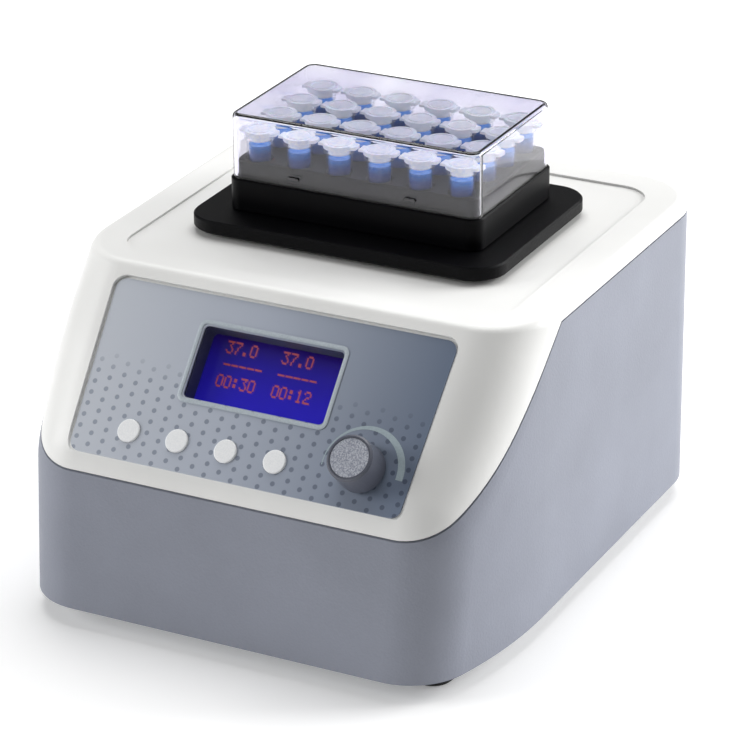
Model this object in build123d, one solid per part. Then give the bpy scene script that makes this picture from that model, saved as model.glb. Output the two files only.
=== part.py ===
"""Benchtop thermal mixer: a heated, orbiting block for 24 tubes under a clear lid, on a two-part moulded case.

Millimetres. X is to the right, Y to the back, Z up. The origin is on the bench,
under the middle of the whole object.
"""
import os
from math import atan, cos, degrees, radians, sin, tan

from build123d import *

# Case
case_width = 204.0
case_depth = 238.0
case_height = 126.0
foot_height = 8.0
wall = 2.5
front_lean = 6.5
slope_angle = 48.7
slope_top_setback = 59.8
side_radius = 26.0
side_curve_radius = 205.0
side_curve_start = 76.0
crease_radius = 36.0
back_radius = 28.0
top_edge_radius = 4.5
parting_gap = 0.7
parting_radius = 232.0
parting_angle = 41.0
parting_straight_run = 36.7
parting_kink_setback = 89.6
parting_side_band = 4.8
tongue_height = 3.0
tongue_thickness = 1.2
fit_clearance = 0.15

# Shallow tray in the top face, centred on the mixing platform
tray_width = 171.0
tray_length = 150.0
tray_radius = 14.0
tray_depth = 1.0

# Tube block and the flange around it
platform_setback = 147.4
tube_pitch = 18.0
tube_columns = 6
tube_rows = 4
block_margin_x = 11.35
block_margin_y = 8.95
block_corner_radius = 6.0
block_step_height = 13.6
block_upper_height = 7.7
block_edge_chamfer = 0.6
flange_margin_x = 12.8
flange_margin_y = 13.0
flange_forward = 2.0
flange_radius = 14.0
flange_thickness = 5.7
flange_chamfer = 0.7
flange_gap = 1.9
neck_inset = 2.3
skirt_width = 4.0
skirt_height = 4.0
well_depth = 25.6
well_clearance = 0.2

# Tubes
tube_diameter = 10.8
tube_wall = 0.9
tube_length = 36.0
collar_diameter = 12.6
collar_height = 1.8
cap_diameter = 13.0
cap_thickness = 2.2
cap_ring_diameter = 9.2
cap_tab = 1.8
fill_height = 31.5

# Clear lid
lid_height = 27.3
lid_wall = 1.5
lid_inset = 0.95
lid_top_radius = 2.0
lid_clearance = 0.5
lid_lug_length = 5.2
lid_lug_height = 1.7
lid_lug_depth = 0.9
lid_lug_spacing = 52.0
lid_lug_rise = 3.9

# Heating stack
contact_thickness = 4.0
peltier_size = 30.0
peltier_thickness = 3.9
peltier_count = 3
peltier_pitch = 33.0
sink_base = 5.0
fin_height = 20.0
fin_thickness = 1.5
fin_pitch = 4.5
fin_span = 88.0
sink_leg_diameter = 8.0
orbit_plate_thickness = 7.0
stack_margin = 1.0

# Orbital drive
orbit_radius = 1.5
bearing_diameter = 22.0
bearing_bore = 8.0
bearing_width = 6.0
idler_bearing_diameter = 13.0
idler_bearing_bore = 5.0
idler_bearing_width = 4.0
idler_span_x = 78.0
idler_span_y = 52.0
running_clearance = 0.06
deck_width = 120.0
deck_length = 108.0
deck_thickness = 6.0
drive_gap = 19.6
crank_web_diameter = 24.0
crank_web_thickness = 5.0
counterweight_radius = 26.0
counterweight_thickness = 7.0
idler_web_diameter = 16.0
motor_diameter = 46.0
motor_height = 42.0
pillar_diameter = 9.0
screw_diameter = 4.0
screw_head_diameter = 7.0
screw_head_height = 2.4

# Control panel, measured in the sloping face
panel_down = 42.9
overlay_top_width = 149.4
overlay_bottom_width = 144.0
overlay_height = 72.4
overlay_radius = 4.5
overlay_thickness = 0.8
overlay_sink = 1.0
overlay_margin = 1.2
panel_pad = 3.0
window_width = 61.4
window_height = 30.0
window_radius = 2.0
window_center = (-0.4, 8.6)
window_thickness = 1.0
window_depth = 9.8
bezel_wall = 2.4
display_thickness = 1.2
display_frame_thickness = 2.6
board_thickness = 1.6
front_board_width = 134.0
front_board_height = 60.0
front_board_center = (0.0, -1.0)
key_diameter = 9.5
key_spacing = 21.45
first_key = (-48.6, -24.3)
key_rise = 0.9
key_travel = 0.5
key_rim = 1.2
switch_size = 6.0
switch_height = 4.3
knob_position = (51.9, -19.9)
knob_diameter = 19.6
knob_height = 13.4
knob_lift = 1.0
knob_push = 0.6
knob_draft = 0.5
insert_diameter = 15.6
insert_thickness = 0.8
shaft_diameter = 6.0
encoder_size = 12.4
encoder_height = 6.5
bushing_diameter = 9.0

# Bottom plate, feet and fixings
plate_thickness = 1.5
plate_rise = 1.0
foot_diameter = 18.0
foot_recess = 4.0
foot_inset_x = 24.0
foot_inset_y = 26.0
column_diameter = 12.0
column_inset = 11.0
column_front = 49.0
column_back = 39.0
column_top = 52.0
boss_diameter = 9.0

# Back of the case
back_panel_width = 150.0
back_panel_height = 44.0
back_panel_rise = 6.0
back_panel_sink = 3.0
back_panel_thickness = 1.5
back_frame_margin = 3.0
inlet_x = -48.0
inlet_width = 27.0
inlet_height = 31.0
inlet_depth = 24.0
inlet_flange = 2.5
socket_width = 24.0
socket_height = 16.5
socket_depth = 15.0
drawer_height = 6.5
drawer_length = 18.0
switch_x = -8.0
rocker_width = 11.0
rocker_height = 17.0
rocker_radius = 13.0
port_x = 34.0
port_width = 16.0
port_height = 12.0
fan_size = 60.0
fan_depth = 15.0
fan_height = 95.5
fan_rotor_diameter = 56.0
fan_hub_diameter = 26.0
vent_slots = 8
vent_pitch = 6.0
vent_slot_height = 2.6
vent_slot_length = 52.0
intake_slots = 9

# Electronics
supply_size = (34.0, 96.0, 30.0)
supply_center = (-80.0, 10.0)
main_board_size = (60.0, 52.0)
main_board_center = (0.0, -72.0)
standoff_height = 5.0

# Levels and centres that follow from the sizes above
half_width = case_width / 2
front_y = -case_depth / 2
back_y = case_depth / 2
case_bottom = foot_height
case_top = foot_height + case_height
side_curve_y = front_y + side_curve_start
lean = radians(front_lean)
slope = radians(slope_angle)
slope_top_y = front_y + slope_top_setback
tray_floor = case_top - tray_depth
platform_y = front_y + platform_setback
crank_y = platform_y - orbit_radius
block_width = (tube_columns - 1) * tube_pitch + 2 * block_margin_x
block_length = (tube_rows - 1) * tube_pitch + 2 * block_margin_y
flange_width = block_width + 2 * flange_margin_x
flange_length = block_length + 2 * flange_margin_y
neck_width = block_width - 2 * neck_inset
neck_length = block_length - 2 * neck_inset
flange_bottom = tray_floor + flange_gap
flange_top = flange_bottom + flange_thickness
ledge_z = flange_top + block_step_height
block_top = ledge_z + block_upper_height
lid_width = block_width - 2 * lid_inset
lid_length = block_length - 2 * lid_inset
lid_top = ledge_z + lid_height
upper_width = lid_width - 2 * lid_wall - 2 * lid_clearance
upper_length = lid_length - 2 * lid_wall - 2 * lid_clearance
tube_bottom = block_top - well_depth
cap_bottom = tube_bottom + tube_length
contact_top = flange_bottom - skirt_height
contact_bottom = contact_top - contact_thickness
sink_top = contact_bottom - peltier_thickness
fin_top = sink_top - sink_base
orbit_plate_top = fin_top - fin_height
orbit_plate_bottom = orbit_plate_top - orbit_plate_thickness
deck_top = orbit_plate_bottom - drive_gap
deck_bottom = deck_top - deck_thickness
plate_bottom = case_bottom + plate_rise
plate_top = plate_bottom + plate_thickness
stack_width = neck_width + 2 * skirt_width
stack_length = neck_length + 2 * skirt_width
motor_bottom = deck_bottom - motor_height
leg_x = stack_width / 2 - sink_leg_diameter / 2 - stack_margin
leg_y = stack_length / 2 - sink_leg_diameter / 2 - stack_margin
column_x = half_width - column_inset
column_places = [(side * column_x, y) for side in (-1, 1) for y in (front_y + column_front, back_y - column_back)]
panel_y = slope_top_y - panel_down * cos(slope)
panel_z = case_top - panel_down * sin(slope)
panel = Plane(origin=(0, panel_y, panel_z), x_dir=(1, 0, 0), z_dir=(0, -sin(slope), cos(slope)))
overlay_top = -overlay_sink
overlay_bottom = overlay_top - overlay_thickness
pad_bottom = overlay_bottom - panel_pad
window_bottom = overlay_bottom - window_thickness
display_top = overlay_top - window_depth
display_bottom = display_top - display_thickness
board_top = display_bottom - display_frame_thickness
board_bottom = board_top - board_thickness
key_places = [(first_key[0] + index * key_spacing, first_key[1]) for index in range(4)]
knob_bottom = overlay_top + knob_lift
back_panel_z = plate_top + back_panel_rise + back_panel_height / 2
fan_back = back_y - wall
fan_front = fan_back - fan_depth


def rounded_block(width, length, bottom, top, radius, center=(0.0, 0.0)):
    """Upright block with rounded vertical corners."""
    outline = RectangleRounded(width, length, min(radius, 0.49 * min(width, length)))
    return Pos(center[0], center[1], bottom) * extrude(outline, amount=top - bottom)


def upright_cylinder(diameter, bottom, top, center=(0.0, 0.0)):
    """Round bar standing on a level."""
    return Pos(center[0], center[1], (bottom + top) / 2) * Cylinder(diameter / 2, top - bottom)


def upright_tube(outer, inner, bottom, top, center=(0.0, 0.0)):
    """Round sleeve standing on a level."""
    return upright_cylinder(outer, bottom, top, center) - upright_cylinder(inner, bottom - 1, top + 1, center)


def slab(width, length, bottom, top, center=(0.0, 0.0)):
    """Plain square-cornered block standing on a level."""
    return Pos(center[0], center[1], (bottom + top) / 2) * Box(width, length, top - bottom)


def pan_screw(center, head_bottom, length, shank=None):
    """Screw with its head at the bottom and its shank upwards."""
    shank = screw_diameter if shank is None else shank
    head_top = head_bottom + screw_head_height
    head = upright_cylinder(screw_head_diameter, head_bottom, head_top, center)
    return head + upright_cylinder(shank, head_top, head_top + length, center)


def tube_centers():
    """Centres of the tube wells, row by row from the front."""
    places = []
    for row in range(tube_rows):
        for column in range(tube_columns):
            x = (column - (tube_columns - 1) / 2) * tube_pitch
            y = platform_y + (row - (tube_rows - 1) / 2) * tube_pitch
            places.append((x, y))
    return places


def leg_centers():
    """Corners of the moving stack where its clamp screws stand."""
    return [(side_x * leg_x, platform_y + side_y * leg_y) for side_x in (-1, 1) for side_y in (-1, 1)]


def idler_centers():
    """Axes of the four idler cranks in the fixed deck."""
    half_x = idler_span_x / 2
    half_y = idler_span_y / 2
    return [(side_x * half_x, crank_y + side_y * half_y) for side_y in (-1, 1) for side_x in (-1, 1)]


def side_reach(y, inset):
    """Half width of the case at a depth y: straight at the back, gently drawn in towards the front."""
    run = max(side_curve_y - y, 0.0)
    radius = side_curve_radius - inset
    return half_width - inset - radius + (radius * radius - run * run) ** 0.5


def plan_outline(inset):
    """Plan of the case with square front corners, reaching past the front and the back."""
    half = half_width - inset
    ahead = front_y - side_radius
    between = (side_curve_y + ahead) / 2
    right = ThreePointArc((half, side_curve_y), (side_reach(between, inset), between),
                          (side_reach(ahead, inset), ahead))
    left = ThreePointArc((-side_reach(ahead, inset), ahead), (-side_reach(between, inset), between),
                         (-half, side_curve_y))
    nose = Line(right @ 1, left @ 0)
    tail = Polyline(left @ 1, (-half, case_depth), (half, case_depth), right @ 0)
    return make_face([right, nose, left, tail])


def case_solid(inset, bottom):
    """The case as a closed solid, drawn in from its outer surface by inset."""
    top = case_top - inset
    front = front_y + inset / cos(lean)
    slope_y = slope_top_y + inset * sin(slope)
    slope_z = case_top - inset * cos(slope)
    crease_z = slope_y - slope_z / tan(slope) - front + case_bottom * tan(lean)
    crease_z = crease_z / (tan(lean) - 1 / tan(slope))
    crease_y = front + (crease_z - case_bottom) * tan(lean)
    foot_y = front + (bottom - case_bottom) * tan(lean)
    top_y = slope_y + (top - slope_z) / tan(slope)
    back = back_y - inset
    corners = [(foot_y, bottom), (crease_y, crease_z), (top_y, top), (back, top), (back, bottom)]
    profile = make_face(Polyline(*corners, close=True))
    solid = extrude(Plane.YZ * profile, amount=case_width, both=True)
    crease = solid.edges().filter_by(Axis.X).sort_by_distance((0, crease_y, crease_z))[0]
    solid = fillet(crease, crease_radius - inset)
    solid = solid & extrude(Plane.XY.offset(bottom) * plan_outline(inset), amount=top - bottom)
    front_chain = [
        edge for edge in solid.edges()
        if abs(abs((edge @ 0.5).X) - side_reach((edge @ 0.5).Y, inset)) < 0.02
        and (edge @ 0.5).Y < top_y
        and bottom + 0.5 < (edge @ 0.5).Z < top - 0.5
    ]
    solid = fillet(front_chain, side_radius - inset)
    rear_edges = [edge for edge in solid.edges().filter_by(Axis.Z) if edge.center().Y > back - 0.01]
    solid = fillet(rear_edges, back_radius - inset)
    rim = solid.edges().group_by(Axis.Z)[-1]
    return fillet(rim, max(top_edge_radius - inset, 0.4))


def above_parting(drop):
    """Everything above the line where the two halves meet, with that line lowered by drop."""
    angle = radians(parting_angle)
    far = 2 * case_depth
    roof = 2 * case_top
    kink = (front_y + parting_kink_setback, case_top - parting_side_band)
    bend = (kink[0] - parting_straight_run, kink[1] - parting_straight_run * tan(angle))
    center = (bend[0] - parting_radius * sin(angle), bend[1] + parting_radius * cos(angle))
    middle = (center[0] + parting_radius * sin(angle / 2), center[1] - parting_radius * cos(angle / 2))
    toe = (center[0], center[1] - parting_radius)
    sweep_up = ThreePointArc(toe, middle, bend)
    rest = Polyline(bend, kink, (far, kink[1]), (far, roof), (-far, roof), (-far, toe[1]), toe)
    face = make_face([sweep_up, rest])
    shift = drop * (1 - cos(angle)) / sin(angle)
    return Pos(0, shift, -drop) * extrude(Plane.YZ * face, amount=case_width, both=True)


def below_parting(drop):
    """Everything below the parting line lowered by drop."""
    return Pos(0, 0, case_top / 2) * Box(2 * case_width, 2 * case_depth, 3 * case_top) - above_parting(drop)


def panel_block(width, height, bottom, top, radius, center=(0.0, 0.0)):
    """Block standing on the sloping panel, with rounded corners."""
    outline = RectangleRounded(width, height, radius)
    return panel * Pos(center[0], center[1], bottom) * extrude(outline, amount=top - bottom)


def panel_cylinder(diameter, bottom, top, center=(0.0, 0.0)):
    """Round bar standing on the sloping panel."""
    return panel * Pos(center[0], center[1], (bottom + top) / 2) * Cylinder(diameter / 2, top - bottom)


def overlay_block(bottom, top, grow):
    """The slightly tapered outline of the control panel, grown all round by grow."""
    half_height = overlay_height / 2 + grow
    half_top = overlay_top_width / 2 + grow
    half_bottom = overlay_bottom_width / 2 + grow
    corners = [(-half_bottom, -half_height), (half_bottom, -half_height), (half_top, half_height),
               (-half_top, half_height)]
    outline = make_face(Polyline(*corners, close=True))
    outline = fillet(outline.vertices(), overlay_radius + grow)
    return panel * Pos(0, 0, bottom) * extrude(outline, amount=top - bottom)


def front_board_posts():
    """Places of the posts that carry the front board."""
    half_x = front_board_width / 2 - 4
    half_y = front_board_height / 2 - 4
    return [
        (front_board_center[0] + side_x * half_x, front_board_center[1] + side_y * half_y)
        for side_x in (-1, 1) for side_y in (-1, 1)
    ]


def neck_opening(bottom, top):
    """Way through the top face for the orbiting neck of the block."""
    room = 2 * (orbit_radius + 3.0)
    width = stack_width + room
    length = stack_length + room
    return rounded_block(width, length, bottom, top, block_corner_radius + 3, (0, crank_y))


def make_top_cover(outer, inner):
    """Upper half of the case: top face, sloping face and the band down to the parting line."""
    shell = (outer - inner) & above_parting(0)
    pad = overlay_block(pad_bottom, 0, 3.0) & case_solid(0.6, case_bottom)
    rim = neck_opening(tray_floor - 4.5, tray_floor)
    collar_room = 2 * (orbit_radius + 5.0)
    collar = rounded_block(stack_width + collar_room, stack_length + collar_room, tray_floor - 4.5,
                           tray_floor - 0.2, block_corner_radius + 5, (0, crank_y)) - rim
    lip_zone = above_parting(tongue_height) & below_parting(0)
    lip = (case_solid(wall + fit_clearance, 0) - case_solid(wall + fit_clearance + tongue_thickness, 0)) & lip_zone
    root_zone = above_parting(0) & below_parting(-tongue_height)
    lip_root = (case_solid(wall - 0.5, 0) - case_solid(wall + fit_clearance + tongue_thickness, 0)) & root_zone
    cover = shell + pad + collar + lip_root + lip
    skin = case_solid(wall / 2, 0)
    boss_room = (skin & above_parting(0)) + case_solid(wall + 2 * fit_clearance, 0)
    for place in column_places:
        cover = cover + (upright_cylinder(boss_diameter, case_bottom + column_top, case_top, place) & boss_room)
    for place in front_board_posts():
        cover = cover + panel_cylinder(6.5, board_top, pad_bottom + 0.5, place)
    tray = rounded_block(tray_width, tray_length, tray_floor, case_top + 5, tray_radius, (0, crank_y))
    cover = cover - tray - neck_opening(tray_floor - 10, tray_floor + 1)
    cover = cover - overlay_block(overlay_bottom, 20, overlay_margin)
    hole_width = window_width + 2 * bezel_wall + 2 * fit_clearance
    hole_height = window_height + 2 * bezel_wall + 2 * fit_clearance
    cover = cover - panel_block(hole_width, hole_height, pad_bottom - 1, 1, window_radius, window_center)
    for place in key_places:
        cover = cover - panel_cylinder(key_diameter + 2 * fit_clearance, pad_bottom - 1, 1, place)
        cover = cover - panel_cylinder(key_diameter + 2 * key_rim + 1, pad_bottom - 1, pad_bottom + 1.6, place)
    cover = cover - panel_cylinder(bushing_diameter + 0.6, pad_bottom - 1, 1, knob_position)
    for place in column_places:
        cover = cover - upright_cylinder(screw_diameter + 0.1, case_bottom, case_bottom + column_top + 16, place)
    for place in front_board_posts():
        cover = cover - panel_cylinder(2.3, board_top - 1, board_top + 6, place)
    return cover


def make_base_shell(outer, inner):
    """Lower half of the case: front, sides and back, open underneath."""
    shell = (outer - inner) & below_parting(parting_gap)
    skin = case_solid(wall / 2, case_bottom)
    columns_top = case_bottom + column_top
    for place in column_places:
        side = 1 if place[0] > 0 else -1
        rib = slab(column_inset, 4.0, plate_top, columns_top, (side * (half_width - column_inset / 2), place[1]))
        shell = shell + ((upright_cylinder(column_diameter, plate_top, columns_top, place) + rib) & skin)
    for place in column_places:
        shell = shell - upright_cylinder(screw_diameter + 0.6, case_bottom - 1, columns_top + 1, place)
    frame_width = back_panel_width + 2 * back_frame_margin
    frame_height = back_panel_height + 2 * back_frame_margin
    pocket_depth = back_panel_sink + back_panel_thickness
    frame_depth = pocket_depth + 1.5
    frame = Pos(0, back_y - frame_depth / 2, back_panel_z) * Box(frame_width, frame_depth, frame_height)
    shell = shell + (frame & case_solid(0.2, case_bottom))
    pocket_width = back_panel_width + 2 * fit_clearance
    pocket_height = back_panel_height + 2 * fit_clearance
    pocket = Pos(0, back_y - pocket_depth / 2, back_panel_z) * Box(pocket_width, pocket_depth, pocket_height)
    through = Pos(0, back_y, back_panel_z) * Box(back_panel_width - 6, 30, back_panel_height - 6)
    shell = shell - pocket - through
    for index in range(vent_slots):
        z = fan_height + (index - (vent_slots - 1) / 2) * vent_pitch
        shell = shell - Pos(0, back_y, z) * Box(vent_slot_length, 4 * wall, vent_slot_height)
    return shell


def make_bottom_plate():
    """Steel plate that closes the case underneath and carries the works."""
    plate = case_solid(wall + 0.4, 0) & slab(case_width, case_depth, plate_bottom, plate_top)
    for place in column_places + pillar_centers() + foot_centers():
        plate = plate - upright_cylinder(screw_diameter + 0.3, plate_bottom - 1, plate_top + 1, place)
    for index in range(intake_slots):
        x = (index - (intake_slots - 1) / 2) * 7.0
        plate = plate - slab(3.0, 40.0, plate_bottom - 1, plate_top + 1, (x, crank_y - 10))
    return plate


def pillar_centers():
    """Axes of the pillars between the bottom plate and the deck."""
    half_x = deck_width / 2 - pillar_diameter
    half_y = deck_length / 2 - pillar_diameter
    return [(side_x * half_x, crank_y + side_y * half_y) for side_x in (-1, 1) for side_y in (-1, 1)]


def foot_centers():
    """Axes of the four feet."""
    half_x = half_width - foot_inset_x
    half_y = case_depth / 2 - foot_inset_y
    return [(side_x * half_x, side_y * half_y) for side_x in (-1, 1) for side_y in (-1, 1)]


def make_feet():
    """Four rubber feet, each hollowed for its screw."""
    feet = []
    for place in foot_centers():
        foot = upright_cylinder(foot_diameter, 0, plate_bottom, place)
        foot = chamfer(foot.edges().group_by(Axis.Z)[0], 1.2)
        foot = foot - upright_cylinder(screw_head_diameter + 1, -1, foot_recess, place)
        feet.append(foot - upright_cylinder(screw_diameter + 0.3, -1, plate_bottom + 1, place))
    return feet


def make_foot_screws():
    """Screws that hold the feet to the bottom plate."""
    seat = foot_recess
    return [pan_screw(place, seat - screw_head_height, plate_top + 1 - seat) for place in foot_centers()]


def make_case_screws():
    """Long screws from the bottom plate through the base into the cover."""
    length = case_bottom + column_top + 14 - plate_bottom
    return [pan_screw(place, plate_bottom - screw_head_height, length) for place in column_places]


def make_flange():
    """Platform flange: a plate round the block, with a skirt down to the contact plate."""
    center = (0, platform_y - flange_forward)
    plate = rounded_block(flange_width, flange_length, flange_bottom, flange_top, flange_radius, center)
    plate = chamfer(plate.edges().group_by(Axis.Z)[-1] + plate.edges().group_by(Axis.Z)[0], flange_chamfer)
    skirt = rounded_block(stack_width, stack_length, contact_top, flange_bottom, block_corner_radius,
                          (0, platform_y))
    hole = rounded_block(neck_width + 0.3, neck_length + 0.3, contact_top - 1, flange_top + 1,
                         block_corner_radius, (0, platform_y))
    return plate + skirt - hole


def make_block():
    """Aluminium block with its wells, a ledge for the lid and a neck through the flange."""
    neck = rounded_block(neck_width, neck_length, contact_top, flange_top, block_corner_radius, (0, platform_y))
    step = rounded_block(block_width, block_length, flange_top, ledge_z, block_corner_radius, (0, platform_y))
    step = chamfer(step.edges().group_by(Axis.Z)[-1] + step.edges().group_by(Axis.Z)[0], block_edge_chamfer)
    upper_radius = block_corner_radius - lid_inset - lid_wall
    upper = rounded_block(upper_width, upper_length, ledge_z, block_top, upper_radius, (0, platform_y))
    upper = fillet(upper.edges().group_by(Axis.Z)[-1], 1.0)
    block = neck + step + upper
    bore = tube_diameter / 2 + well_clearance
    well = Pos(0, 0, tube_bottom + bore) * Cylinder(bore, well_depth, align=(Align.CENTER, Align.CENTER, Align.MIN))
    well = well + Pos(0, 0, tube_bottom + bore) * Sphere(bore)
    for place in tube_centers():
        block = block - Pos(place[0], place[1], 0) * well
    return block


def make_one_tube():
    """One open tube with a round bottom and a collar, standing on the Z axis."""
    radius = tube_diameter / 2
    inner = radius - tube_wall
    seat = tube_bottom + well_clearance
    body = Pos(0, 0, seat + radius) * Sphere(radius)
    body = body + upright_cylinder(tube_diameter, seat + radius, cap_bottom)
    body = body + upright_cylinder(collar_diameter, cap_bottom - collar_height, cap_bottom)
    hollow = Pos(0, 0, seat + radius) * Sphere(inner)
    hollow = hollow + upright_cylinder(2 * inner, seat + radius, cap_bottom + 1)
    return body - hollow


def make_one_filling():
    """Liquid in one tube, with a shallow meniscus."""
    inner = tube_diameter / 2 - tube_wall - 0.02
    seat = tube_bottom + well_clearance + tube_diameter / 2
    level = tube_bottom + fill_height
    liquid = Pos(0, 0, seat) * Sphere(inner) + upright_cylinder(2 * inner, seat, level)
    return liquid - Pos(0, 0, level + 3 * inner) * Sphere(3.05 * inner)


def make_one_cap():
    """Snap cap with a raised ring, a hinge tab on one side and a thumb tab on the other."""
    top = cap_bottom + cap_thickness
    disc = upright_cylinder(cap_diameter, cap_bottom, top - 0.5)
    ring = upright_tube(cap_ring_diameter + 1.2, cap_ring_diameter, top - 0.6, top)
    reach = cap_diameter / 2 + cap_tab
    hinge = slab(4.0, 5.0, cap_bottom + 0.2, cap_bottom + 1.2, (2.0 - reach, 0))
    thumb = rounded_block(4.4, 6.0, cap_bottom + 0.2, cap_bottom + 1.4, 1.8, (reach - 2.2, 0))
    plug = upright_tube(tube_diameter - 2 * tube_wall - 0.06, tube_diameter - 2 * tube_wall - 1.6,
                        cap_bottom - 2.6, cap_bottom + 0.3)
    return disc + ring + hinge + thumb + plug


def spread_over_wells(piece):
    """A copy of the piece at each well."""
    return [Pos(x, y, 0) * piece for x, y in tube_centers()]


def make_lid():
    """Clear box lid that stands on the ledge of the block."""
    outer_radius = block_corner_radius - lid_inset
    outer = rounded_block(lid_width, lid_length, ledge_z, lid_top, outer_radius, (0, platform_y))
    outer = fillet(outer.edges().group_by(Axis.Z)[-1], lid_top_radius)
    inner_width = lid_width - 2 * lid_wall
    inner_length = lid_length - 2 * lid_wall
    inner_radius = max(outer_radius - lid_wall, 0.6)
    inner = rounded_block(inner_width, inner_length, ledge_z - 1, lid_top - lid_wall, inner_radius, (0, platform_y))
    inner = fillet(inner.edges().group_by(Axis.Z)[-1], max(lid_top_radius - lid_wall, 0.3))
    lid = outer - inner
    lug_y = lid_length / 2 + lid_lug_depth / 2 - 0.3
    for side_x in (-1, 1):
        for side_y in (-1, 1):
            lug = RectangleRounded(lid_lug_length, lid_lug_height, lid_lug_height * 0.45)
            lug = extrude(Plane.XZ * lug, amount=(lid_lug_depth + 0.6) / 2, both=True)
            lid = lid + Pos(side_x * lid_lug_spacing / 2, platform_y + side_y * lug_y, ledge_z + lid_lug_rise) * lug
    return lid


def make_contact_plate():
    """Aluminium plate that spreads heat under the block."""
    plate = rounded_block(stack_width, stack_length, contact_bottom, contact_top, block_corner_radius,
                          (0, platform_y))
    for place in leg_centers():
        plate = plate - upright_cylinder(screw_diameter + 0.1, contact_bottom - 1, contact_top - 1, place)
    return plate


def make_peltier_modules():
    """Thermoelectric modules, side by side between the contact plate and the heat sink."""
    modules = []
    for index in range(peltier_count):
        x = (index - (peltier_count - 1) / 2) * peltier_pitch
        modules.append(slab(peltier_size, peltier_size, sink_top, contact_bottom, (x, platform_y)))
    return modules


def make_insulator():
    """Foam frame round the thermoelectric modules."""
    frame = rounded_block(stack_width, stack_length, sink_top, contact_bottom, block_corner_radius,
                          (0, platform_y))
    row_width = (peltier_count - 1) * peltier_pitch + peltier_size + 1
    frame = frame - slab(row_width, peltier_size + 1, sink_top - 1, contact_bottom + 1, (0, platform_y))
    for place in leg_centers():
        frame = frame - upright_cylinder(screw_diameter + 0.4, sink_top - 1, contact_bottom + 1, place)
    return frame


def make_heat_sink():
    """Finned aluminium heat sink with a leg at each corner."""
    sink = rounded_block(stack_width, stack_length, fin_top, sink_top, 2.0, (0, platform_y))
    count = int(fin_span / fin_pitch) + 1
    for index in range(count):
        x = (index - (count - 1) / 2) * fin_pitch
        sink = sink + slab(fin_thickness, stack_length - 2, orbit_plate_top, fin_top + 0.5, (x, platform_y))
    for place in leg_centers():
        sink = sink + upright_cylinder(sink_leg_diameter, orbit_plate_top, fin_top + 0.5, place)
    for place in leg_centers():
        sink = sink - upright_cylinder(screw_diameter + 0.4, orbit_plate_top - 1, sink_top + 1, place)
    return sink


def make_orbit_plate():
    """Plate that carries the heating stack and holds the drive bearings."""
    plate = rounded_block(stack_width, stack_length, orbit_plate_bottom, orbit_plate_top, 5.0, (0, platform_y))
    seat = orbit_plate_bottom + bearing_width
    plate = plate - upright_cylinder(bearing_diameter, orbit_plate_bottom - 1, seat, (0, platform_y))
    for x, y in idler_centers():
        seat = orbit_plate_bottom + idler_bearing_width
        place = (x, y + orbit_radius)
        plate = plate - upright_cylinder(idler_bearing_diameter, orbit_plate_bottom - 1, seat, place)
    for place in leg_centers():
        plate = plate - upright_cylinder(screw_diameter + 0.4, orbit_plate_bottom - 1, orbit_plate_top + 1, place)
    return plate


def bearing(center, bottom, outer, bore, width):
    """Closed ball bearing: an outer and an inner ring joined by its shields."""
    ring = upright_tube(outer, bore, bottom, bottom + width, center)
    groove = upright_tube(outer - 3, bore + 3, bottom + width - 0.5, bottom + width + 1, center)
    lower = upright_tube(outer - 3, bore + 3, bottom - 1, bottom + 0.5, center)
    return ring - groove - lower


def make_orbit_bearings():
    """Bearings in the orbiting plate: one for the crank pin and four for the idlers."""
    rings = [bearing((0, platform_y), orbit_plate_bottom, bearing_diameter, bearing_bore, bearing_width)]
    for x, y in idler_centers():
        rings.append(bearing((x, y + orbit_radius), orbit_plate_bottom, idler_bearing_diameter,
                             idler_bearing_bore, idler_bearing_width))
    return rings


def make_deck():
    """Fixed deck under the platform, which holds the motor and the lower bearings."""
    deck = rounded_block(deck_width, deck_length, deck_bottom, deck_top, 6.0, (0, crank_y))
    deck = deck - upright_cylinder(bearing_diameter, deck_top - bearing_width, deck_top + 1, (0, crank_y))
    deck = deck - upright_cylinder(bearing_bore + 4, deck_bottom - 1, deck_top + 1, (0, crank_y))
    for place in idler_centers():
        seat = deck_top - idler_bearing_width
        deck = deck - upright_cylinder(idler_bearing_diameter, seat, deck_top + 1, place)
    for place in pillar_centers():
        deck = deck - upright_cylinder(screw_diameter + 0.3, deck_bottom - 1, deck_top + 1, place)
    return deck


def make_deck_bearings():
    """Bearings in the deck: one for the crank shaft and four for the idlers."""
    rings = [bearing((0, crank_y), deck_top - bearing_width, bearing_diameter, bearing_bore, bearing_width)]
    for place in idler_centers():
        rings.append(bearing(place, deck_top - idler_bearing_width, idler_bearing_diameter,
                             idler_bearing_bore, idler_bearing_width))
    return rings


def make_pillars():
    """Pillars from the bottom plate up to the deck."""
    pillars = []
    for place in pillar_centers():
        pillar = upright_cylinder(pillar_diameter, plate_top, deck_bottom, place)
        pillars.append(pillar - upright_cylinder(screw_diameter, plate_top - 1, plate_top + 10, place)
                       - upright_cylinder(screw_diameter, deck_bottom - 10, deck_bottom + 1, place))
    return pillars


def make_deck_screws():
    """Screws down through the deck into the pillars."""
    screws = []
    for place in pillar_centers():
        head = upright_cylinder(screw_head_diameter, deck_top, deck_top + screw_head_height, place)
        shank = upright_cylinder(screw_diameter - 0.1, deck_top - deck_thickness - 8, deck_top, place)
        screws.append(head + shank)
    return screws


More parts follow.
